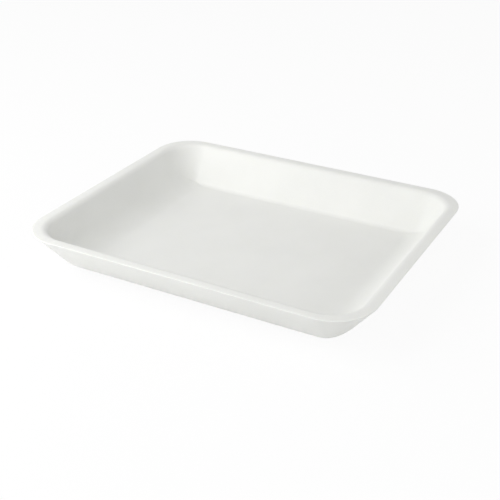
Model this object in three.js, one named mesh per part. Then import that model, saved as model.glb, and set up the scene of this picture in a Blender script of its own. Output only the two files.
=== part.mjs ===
// Foam meat tray: one formed foam sheet with a flat floor, sloping walls, conical corners and a soft rolled rim.
// The rim's middle stands over the origin, the underside lies on z = 0 and the long sides run along X.
import * as THREE from 'three';

// Overall size, in millimetres
const rimLength = 260;
const rimWidth = 212;
const trayHeight = 33;

// Sheet
const foamThickness = 4;

// Rim: a level top, a pinched outer edge and a wide bend down into the walls
const rimEdgeRadius = 1.3;
const rimFlatInset = 3;
const rimBendRadius = 11;

// Walls, as slopes in degrees from the floor
const longWallSlope = 60;
const endWallSlope = 64;

// Bends between wall and floor, inside and outside
const longFloorFillet = 4.5;
const endFloorFillet = 16;
const longBaseBend = 18;
const endBaseBend = 22;

// Corners in plan: wide at the rim, tighter at the floor and at the flat underside
const rimCornerRadius = 30.5;
const floorCornerRadius = 9;
const baseCornerRadius = 9;

// Smoothness
const arcDivisions = 4;
const cornerSteps = 10;

const foamColour = 0xf0f1ec;
const foamRoughness = 0.7;

// Cross-section of one wall as a path of (inset from the rim's edge, height), from the floor over the rim to the base.
function wallSection(slopeDegrees, floorFillet, baseBend) {
  const slope = THREE.MathUtils.degToRad(slopeDegrees);
  const bendHeight = trayHeight - rimBendRadius;
  const underBendRadius = rimBendRadius - foamThickness;

  // Inset of a bend that ends the straight wall, for the skin that leaves the rim's bend at the given radius.
  const bendInset = (skinRadius, level, radius) => {
    const wallTop = bendHeight + skinRadius * Math.cos(slope);
    const wallFoot = level + radius * (1 - Math.cos(slope));
    const wallRun = (wallTop - wallFoot) / Math.tan(slope);
    return rimFlatInset + skinRadius * Math.sin(slope) + wallRun + radius * Math.sin(slope);
  };
  const floorInset = bendInset(rimBendRadius, foamThickness, floorFillet);
  const baseInset = bendInset(underBendRadius, 0, baseBend);

  // The underside of the lip is the line that touches both the edge's round and the bend under the rim.
  const across = rimEdgeRadius - rimFlatInset;
  const up = rimBendRadius - rimEdgeRadius;
  const touching = Math.acos((rimEdgeRadius + underBendRadius) / Math.hypot(across, up));
  const lipSlope = Math.atan2(across, up) + touching;

  const top = Math.PI / 2;
  const outward = Math.PI;
  const bottom = -Math.PI / 2;
  const edgeHeight = trayHeight - rimEdgeRadius;
  const section = new THREE.Path();
  section.absarc(floorInset, foamThickness + floorFillet, floorFillet, bottom, bottom - slope, true);
  section.absarc(rimFlatInset, bendHeight, rimBendRadius, top - slope, top, false);
  section.absarc(rimEdgeRadius, edgeHeight, rimEdgeRadius, top, outward, false);
  section.absarc(rimEdgeRadius, edgeHeight, rimEdgeRadius, outward, outward + top - lipSlope, false);
  section.absarc(rimFlatInset, bendHeight, underBendRadius, top - lipSlope, top - slope, true);
  section.absarc(baseInset, baseBend, baseBend, bottom - slope, bottom, false);
  return section.getPoints(arcDivisions);
}

// One closed ring round the tray: the end walls' section point at the ends, the long walls' at the sides.
function planRing(endPoint, sidePoint, cornerRadius) {
  const ring = [];
  const quadrants = [[1, 1], [-1, 1], [-1, -1], [1, -1]];
  quadrants.forEach(([signX, signY]) => {
    for (let step = 0; step <= cornerSteps; step++) {
      const share = signX * signY > 0 ? step / cornerSteps : 1 - step / cornerSteps;
      const angle = share * Math.PI / 2;
      const x = rimLength / 2 - endPoint.x - cornerRadius * (1 - Math.cos(angle));
      const y = rimWidth / 2 - sidePoint.x - cornerRadius * (1 - Math.sin(angle));
      const z = THREE.MathUtils.lerp(endPoint.y, sidePoint.y, Math.sin(angle) ** 2);
      ring.push(new THREE.Vector3(signX * x, signY * y, z));
    }
  });
  return ring;
}

// All rings, from the floor's outline over the rim to the underside's outline.
function trayRings() {
  const endSection = wallSection(endWallSlope, endFloorFillet, endBaseBend);
  const sideSection = wallSection(longWallSlope, longFloorFillet, longBaseBend);
  const edge = endSection.reduce((best, point, i) => (point.x < endSection[best].x ? i : best), 0);
  const last = endSection.length - 1;
  return endSection.map((endPoint, i) => {
    const sidePoint = sideSection[i];
    const flat = i <= edge ? 0 : last;
    const flatRadius = i <= edge ? floorCornerRadius : baseCornerRadius;
    const share = (endPoint.x / endSection[flat].x + sidePoint.x / sideSection[flat].x) / 2;
    return planRing(endPoint, sidePoint, THREE.MathUtils.lerp(rimCornerRadius, flatRadius, share));
  });
}

// Closed skin over a stack of rings, with a flat fan over the first and the last.
function loftRings(rings) {
  const count = rings[0].length;
  const points = rings.flat();
  const index = [];
  const vertex = (ring, station) => ring * count + station % count;
  for (let ring = 0; ring < rings.length - 1; ring++) {
    for (let station = 0; station < count; station++) {
      const a = vertex(ring, station);
      const b = vertex(ring + 1, station);
      const c = vertex(ring + 1, station + 1);
      const d = vertex(ring, station + 1);
      index.push(a, b, c, a, c, d);
    }
  }
  const floorCentre = points.push(new THREE.Vector3(0, 0, rings[0][0].z)) - 1;
  const baseCentre = points.push(new THREE.Vector3(0, 0, rings.at(-1)[0].z)) - 1;
  for (let station = 0; station < count; station++) {
    index.push(floorCentre, vertex(0, station), vertex(0, station + 1));
    index.push(baseCentre, vertex(rings.length - 1, station + 1), vertex(rings.length - 1, station));
  }
  const geometry = new THREE.BufferGeometry().setFromPoints(points).setIndex(index);
  geometry.computeVertexNormals();
  return geometry;
}

const foam = new THREE.MeshStandardMaterial({ color: foamColour, roughness: foamRoughness, metalness: 0 });
const tray = new THREE.Mesh(loftRings(trayRings()), foam);
tray.name = 'tray';

const group = new THREE.Group();
group.add(tray);

export default group;
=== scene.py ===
import bpy
import bmesh
from math import sin, cos, tan, asin, atan2, hypot, pi, radians
from mathutils import Matrix, Vector


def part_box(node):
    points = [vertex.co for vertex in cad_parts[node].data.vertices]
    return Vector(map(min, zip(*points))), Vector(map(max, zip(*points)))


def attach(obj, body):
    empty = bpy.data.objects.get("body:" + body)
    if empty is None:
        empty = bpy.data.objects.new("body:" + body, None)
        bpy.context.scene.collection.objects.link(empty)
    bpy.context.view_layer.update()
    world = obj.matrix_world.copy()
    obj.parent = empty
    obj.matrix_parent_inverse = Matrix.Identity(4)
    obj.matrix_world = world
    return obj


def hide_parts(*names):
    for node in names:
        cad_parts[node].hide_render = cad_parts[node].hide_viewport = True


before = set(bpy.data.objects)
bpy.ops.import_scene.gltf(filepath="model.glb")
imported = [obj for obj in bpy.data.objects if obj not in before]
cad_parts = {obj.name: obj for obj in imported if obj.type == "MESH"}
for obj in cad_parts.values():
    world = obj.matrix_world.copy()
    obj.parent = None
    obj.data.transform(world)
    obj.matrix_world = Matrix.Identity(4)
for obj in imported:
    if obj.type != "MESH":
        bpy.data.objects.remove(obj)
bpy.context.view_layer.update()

# the photograph's camera, found from the tray's outline
view = {
    "azimuth": radians(28.82),
    "elevation": radians(28.11),
    "roll": radians(-0.05),
    "distance": 0.701,
    "shiftRight": 0.00026,   # how far the frame's middle lies from the tray's
    "shiftUp": -0.00313,
    "focalPixels": 944.4,
    "imageSide": 500,        # the photograph's frame, in pixels
    "sensor": 36.0,
    "nearClip": 0.01,
}


def placeCamera():
    az, el, roll = view["azimuth"], view["elevation"], view["roll"]
    back = Vector((sin(az) * cos(el), -cos(az) * cos(el), sin(el)))
    right = Vector((cos(az), sin(az), 0))
    up = back.cross(right)
    tiltedRight = right * cos(roll) + up * sin(roll)
    tiltedUp = up * cos(roll) - right * sin(roll)
    centre = back * view["distance"] - tiltedRight * view["shiftRight"] - tiltedUp * view["shiftUp"]
    camera = bpy.data.cameras.new("photoCamera")
    camera.sensor_width = view["sensor"]
    camera.lens = view["focalPixels"] * view["sensor"] / view["imageSide"]
    camera.clip_start = view["nearClip"]
    holder = bpy.data.objects.new("photoCamera", camera)
    turn = Matrix((tiltedRight, tiltedUp, back)).transposed().to_4x4()
    holder.matrix_world = Matrix.Translation(centre) @ turn
    bpy.context.scene.collection.objects.link(holder)
    bpy.context.scene.camera = holder


placeCamera()
print("camera set")


# small helpers for the node materials
def newMaterial(name):
    material = bpy.data.materials.new(name)
    material.use_nodes = True
    nodes, links = material.node_tree.nodes, material.node_tree.links
    nodes.clear()
    output = nodes.new("ShaderNodeOutputMaterial")
    return material, nodes, links, output


def noiseNode(nodes, links, coordinate, scale, detail, roughness):
    node = nodes.new("ShaderNodeTexNoise")
    node.inputs["Scale"].default_value = scale
    node.inputs["Detail"].default_value = detail
    node.inputs["Roughness"].default_value = roughness
    links.new(coordinate, node.inputs["Vector"])
    return node.outputs["Fac"]


def cellNode(nodes, links, coordinate, scale, smoothness):
    node = nodes.new("ShaderNodeTexVoronoi")
    node.feature = "SMOOTH_F1"
    node.inputs["Scale"].default_value = scale
    node.inputs["Smoothness"].default_value = smoothness
    links.new(coordinate, node.inputs["Vector"])
    return node.outputs["Distance"]


def rangeNode(nodes, links, value, span, low, high):
    node = nodes.new("ShaderNodeMapRange")
    node.inputs["From Min"].default_value = span[0]
    node.inputs["From Max"].default_value = span[1]
    node.inputs["To Min"].default_value = low
    node.inputs["To Max"].default_value = high
    links.new(value, node.inputs["Value"])
    return node.outputs["Result"]


def bumpNode(nodes, links, height, distance, strength, normal=None):
    node = nodes.new("ShaderNodeBump")
    node.inputs["Distance"].default_value = distance
    node.inputs["Strength"].default_value = strength
    links.new(height, node.inputs["Height"])
    if normal:
        links.new(normal, node.inputs["Normal"])
    return node.outputs["Normal"]


def colourMix(nodes, links, share, first, second):
    node = nodes.new("ShaderNodeMix")
    node.data_type = "RGBA"
    for socket, colour in (("A", first), ("B", second)):
        if isinstance(colour, tuple):
            node.inputs[socket].default_value = colour
        else:
            links.new(colour, node.inputs[socket])
    links.new(share, node.inputs["Factor"])
    return node.outputs["Result"]


# white closed-cell foam with a soft skin: scales are wave counts per metre, distances are in metres
foam = {
    "light": (0.826, 0.830, 0.803, 1),
    "dark": (0.796, 0.801, 0.774, 1),
    "cellWall": (0.850, 0.854, 0.832, 1),
    "cellWallShare": 0.35,
    "clouds": {"scale": 28, "detail": 3, "roughness": 0.5},   # slow changes of tone, about 4 cm
    "waves": {"scale": 95, "detail": 2, "roughness": 0.5},    # soft waves left by the mould, about 1 cm
    "grain": {"scale": 620, "detail": 3, "roughness": 0.6},   # pressed skin, about 1.6 mm
    "cells": {"scale": 1700, "smoothness": 0.4},              # closed cells under the skin, about 0.6 mm
    "noiseSpan": (0.3, 0.7),
    "cellSpan": (0.25, 0.6),
    "waveBump": {"distance": 0.00022, "strength": 0.35},
    "grainBump": {"distance": 0.00006, "strength": 0.4},
    "cellBump": {"distance": 0.00004, "strength": 0.5},
    "smoothest": 0.48,
    "roughest": 0.64,
    "ior": 1.46,
    "scatterShare": 0.35,
    "scatterDepth": 0.0015,
    "scatterTint": (1.0, 1.0, 0.9),
}


def foamMaterial():
    material, nodes, links, output = newMaterial("foamSkin")
    place = nodes.new("ShaderNodeTexCoord").outputs["Object"]
    shader = nodes.new("ShaderNodeBsdfPrincipled")
    shader.inputs["IOR"].default_value = foam["ior"]
    shader.inputs["Subsurface Weight"].default_value = foam["scatterShare"]
    shader.inputs["Subsurface Scale"].default_value = foam["scatterDepth"]
    shader.inputs["Subsurface Radius"].default_value = foam["scatterTint"]

    clouds = noiseNode(nodes, links, place, **foam["clouds"])
    waves = noiseNode(nodes, links, place, **foam["waves"])
    grain = noiseNode(nodes, links, place, **foam["grain"])
    cells = cellNode(nodes, links, place, **foam["cells"])

    # tone drifts slowly over the sheet, and the walls between cells show a little lighter
    drift = rangeNode(nodes, links, clouds, foam["noiseSpan"], 0.0, 1.0)
    tone = colourMix(nodes, links, drift, foam["dark"], foam["light"])
    walls = rangeNode(nodes, links, cells, foam["cellSpan"], 0.0, foam["cellWallShare"])
    links.new(colourMix(nodes, links, walls, tone, foam["cellWall"]), shader.inputs["Base Color"])

    gloss = rangeNode(nodes, links, grain, foam["noiseSpan"], foam["smoothest"], foam["roughest"])
    links.new(gloss, shader.inputs["Roughness"])

    soft = bumpNode(nodes, links, waves, **foam["waveBump"])
    pressed = bumpNode(nodes, links, grain, **foam["grainBump"], normal=soft)
    celled = bumpNode(nodes, links, cells, **foam["cellBump"], normal=pressed)
    links.new(celled, shader.inputs["Normal"])
    links.new(shader.outputs["BSDF"], output.inputs["Surface"])
    return material


# the tray: one formed sheet, with its own wall section at the ends and at the long sides
tray = {
    "sheet": 0.004,
    "rimEdgeRadius": 0.0004,
    "end": {
        "slope": radians(62), "rimFlat": 0.0052, "rimBend": 0.006,
        "floorFillet": 0.024, "baseBend": 0.040, "baseInset": 0.0445,
    },
    "side": {
        "slope": radians(58.5), "rimFlat": 0.0048, "rimBend": 0.005,
        "floorFillet": 0.005, "baseBend": 0.0205, "baseInset": 0.0357,
    },
    "rimCorner": 0.0297,
    "floorCorner": 0.009,
    "baseCorner": 0.005,
    "arcSteps": 12,
    "cornerSteps": 20,
    "weld": 1e-6,
}
trayLow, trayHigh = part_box("tray")
rimHalf = ((trayHigh.x - trayLow.x) / 2, (trayHigh.y - trayLow.y) / 2)
rimTop = trayHigh.z


# points of an arc in the wall section: x is the inset from the rim's edge, y the height
def arcPoints(centre, radius, start, end):
    turns = [start + (end - start) * i / tray["arcSteps"] for i in range(tray["arcSteps"] + 1)]
    return [Vector((centre[0] + radius * cos(a), centre[1] + radius * sin(a))) for a in turns]


# inner skin from the floor up to the rim, then outer skin from the rim's edge straight down to the base bend
def wallSection(wall):
    slope, flat, bend, fillet = wall["slope"], wall["rimFlat"], wall["rimBend"], wall["floorFillet"]
    baseBend, baseInset = wall["baseBend"], wall["baseInset"]
    sheet, edge = tray["sheet"], tray["rimEdgeRadius"]
    wallTop = rimTop - bend * (1 - cos(slope))
    wallFoot = sheet + fillet * (1 - cos(slope))
    floorInset = flat + (bend + fillet) * sin(slope) + (wallTop - wallFoot) / tan(slope)
    inner = arcPoints((floorInset, sheet + fillet), fillet, -pi / 2, -pi / 2 - slope)
    inner += arcPoints((flat, rimTop - bend), bend, pi / 2 - slope, pi / 2)

    # the outer wall is the line that touches both the rim's edge and the base bend
    across, down = baseInset - edge, rimTop - edge - baseBend
    outerSlope = asin((baseBend - edge) / hypot(across, down)) + atan2(down, across)
    outer = arcPoints((edge, rimTop - edge), edge, pi / 2, 3 * pi / 2 - outerSlope)
    outer += arcPoints((baseInset, baseBend), baseBend, 3 * pi / 2 - outerSlope, 3 * pi / 2)
    return inner, outer


# one (sign x, sign y, angle) for each vertex of a ring, anticlockwise
def stationTurns():
    turns = []
    for signX, signY in ((1, 1), (-1, 1), (-1, -1), (1, -1)):
        for step in range(tray["cornerSteps"] + 1):
            share = step / tray["cornerSteps"]
            turns.append((signX, signY, (share if signX * signY > 0 else 1 - share) * pi / 2))
    return turns


def placeRing(ring, turns, endPoint, sidePoint, corner):
    for vert, (signX, signY, angle) in zip(ring, turns):
        x = rimHalf[0] - endPoint.x - corner * (1 - cos(angle))
        y = rimHalf[1] - sidePoint.x - corner * (1 - sin(angle))
        z = endPoint.y + (sidePoint.y - endPoint.y) * sin(angle) ** 2
        vert.co = (signX * x, signY * y, z)


def ringEdges(bm, ring):
    return [bm.edges.get((a, b)) for a, b in zip(ring, ring[1:] + ring[:1])]


# extrudes a closed ring of vertices and gives the new ring, in the same order
def extrudeRing(bm, ring):
    made = bmesh.ops.extrude_edge_only(bm, edges=ringEdges(bm, ring))["geom"]
    fresh = {v for v in made if isinstance(v, bmesh.types.BMVert)}
    return [next(e.other_vert(v) for e in v.link_edges if e.other_vert(v) in fresh) for v in ring]


def buildTray():
    bm = bmesh.new()
    turns = stationTurns()
    ring = bmesh.ops.create_circle(bm, cap_ends=True, segments=len(turns), radius=1)["verts"]
    endInner, endOuter = wallSection(tray["end"])
    sideInner, sideOuter = wallSection(tray["side"])
    skins = ((endInner, sideInner, 0, tray["floorCorner"]), (endOuter, sideOuter, -1, tray["baseCorner"]))
    first = True
    for endSkin, sideSkin, flat, flatCorner in skins:
        for endPoint, sidePoint in zip(endSkin, sideSkin):
            if not first:
                ring = extrudeRing(bm, ring)
            first = False
            share = (endPoint.x / endSkin[flat].x + sidePoint.x / sideSkin[flat].x) / 2
            corner = tray["rimCorner"] + (flatCorner - tray["rimCorner"]) * share
            placeRing(ring, turns, endPoint, sidePoint, corner)
    bmesh.ops.edgeloop_fill(bm, edges=ringEdges(bm, ring))
    bmesh.ops.remove_doubles(bm, verts=bm.verts, dist=tray["weld"])
    bmesh.ops.recalc_face_normals(bm, faces=bm.faces)
    mesh = bpy.data.meshes.new("foamTray")
    bm.to_mesh(mesh)
    bm.free()
    mesh.shade_smooth()
    mesh.materials.append(foamMaterial())
    piece = bpy.data.objects.new("foamTray", mesh)
    bpy.context.scene.collection.objects.link(piece)
    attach(piece, "root")
    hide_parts("tray")
    return piece


foamTray = buildTray()
print("tray made:", len(foamTray.data.polygons), "faces")

# white paper floor and soft lamps: direction is (azimuth, elevation) in degrees, azimuth 0 in front
studio = {
    "floorSide": 6.0,
    "floorColour": (0.93, 0.93, 0.93, 1),
    "shadowShare": 0.08,   # how much of the floor's own light and shadow shows to the camera
    "white": (1, 1, 1, 1),
    "ambient": 0.46,
    "lamps": {
        "keySoftbox": {"direction": (315, 43), "distance": 0.8, "size": 0.6, "power": 3.06},
        "frontSoftbox": {"direction": (335, 20), "distance": 1.1, "size": 0.9, "power": 2.6},
        "rightSoftbox": {"direction": (90, 20), "distance": 1.1, "size": 0.9, "power": 2.65},
        "leftSoftbox": {"direction": (270, 20), "distance": 1.1, "size": 0.9, "power": 1.95},
    },
}


# 1 for rays that should meet plain white: the camera's, and those of gloss and glass
def whiteRays(nodes, links):
    path = nodes.new("ShaderNodeLightPath")
    total = path.outputs["Is Camera Ray"]
    for name in ("Is Glossy Ray", "Is Transmission Ray"):
        add = nodes.new("ShaderNodeMath")
        add.operation = "MAXIMUM"
        links.new(total, add.inputs[0])
        links.new(path.outputs[name], add.inputs[1])
        total = add.outputs[0]
    return total


def buildFloor():
    bm = bmesh.new()
    bmesh.ops.create_grid(bm, x_segments=1, y_segments=1, size=studio["floorSide"] / 2)
    mesh = bpy.data.meshes.new("studioFloor")
    bm.to_mesh(mesh)
    bm.free()
    floor = bpy.data.objects.new("studioFloor", mesh)
    bpy.context.scene.collection.objects.link(floor)
    material, nodes, links, output = newMaterial("studioPaper")
    paper = nodes.new("ShaderNodeBsdfDiffuse")
    paper.inputs["Color"].default_value = studio["floorColour"]
    white = nodes.new("ShaderNodeEmission")
    seen = nodes.new("ShaderNodeMath")
    seen.operation = "MULTIPLY"
    seen.inputs[1].default_value = 1 - studio["shadowShare"]
    links.new(whiteRays(nodes, links), seen.inputs[0])
    mix = nodes.new("ShaderNodeMixShader")
    links.new(seen.outputs[0], mix.inputs["Fac"])
    links.new(paper.outputs["BSDF"], mix.inputs[1])
    links.new(white.outputs["Emission"], mix.inputs[2])
    links.new(mix.outputs["Shader"], output.inputs["Surface"])
    mesh.materials.append(material)


def buildWorld():
    world = bpy.data.worlds.new("studioWorld")
    bpy.context.scene.world = world
    world.use_nodes = True
    nodes, links = world.node_tree.nodes, world.node_tree.links
    nodes.clear()
    ambient = nodes.new("ShaderNodeBackground")
    ambient.inputs["Color"].default_value = studio["white"]
    ambient.inputs["Strength"].default_value = studio["ambient"]
    white = nodes.new("ShaderNodeBackground")
    white.inputs["Color"].default_value = studio["white"]
    mix = nodes.new("ShaderNodeMixShader")
    output = nodes.new("ShaderNodeOutputWorld")
    links.new(whiteRays(nodes, links), mix.inputs["Fac"])
    links.new(ambient.outputs["Background"], mix.inputs[1])
    links.new(white.outputs["Background"], mix.inputs[2])
    links.new(mix.outputs["Shader"], output.inputs["Surface"])


def addSoftbox(name, direction, distance, size, power):
    lamp = bpy.data.lights.new(name, "AREA")
    lamp.shape = "DISK"
    lamp.size = size
    lamp.energy = power
    holder = bpy.data.objects.new(name, lamp)
    az, el = radians(direction[0]), radians(direction[1])
    aim = Vector((sin(az) * cos(el), -cos(az) * cos(el), sin(el)))
    holder.location = aim * distance
    holder.rotation_euler = aim.to_track_quat("Z", "Y").to_euler()
    holder.visible_camera = False
    bpy.context.scene.collection.objects.link(holder)


buildFloor()
buildWorld()
for lampName, lamp in studio["lamps"].items():
    addSoftbox(lampName, **lamp)
bpy.context.scene.view_settings.view_transform = "Standard"
print("studio lit")
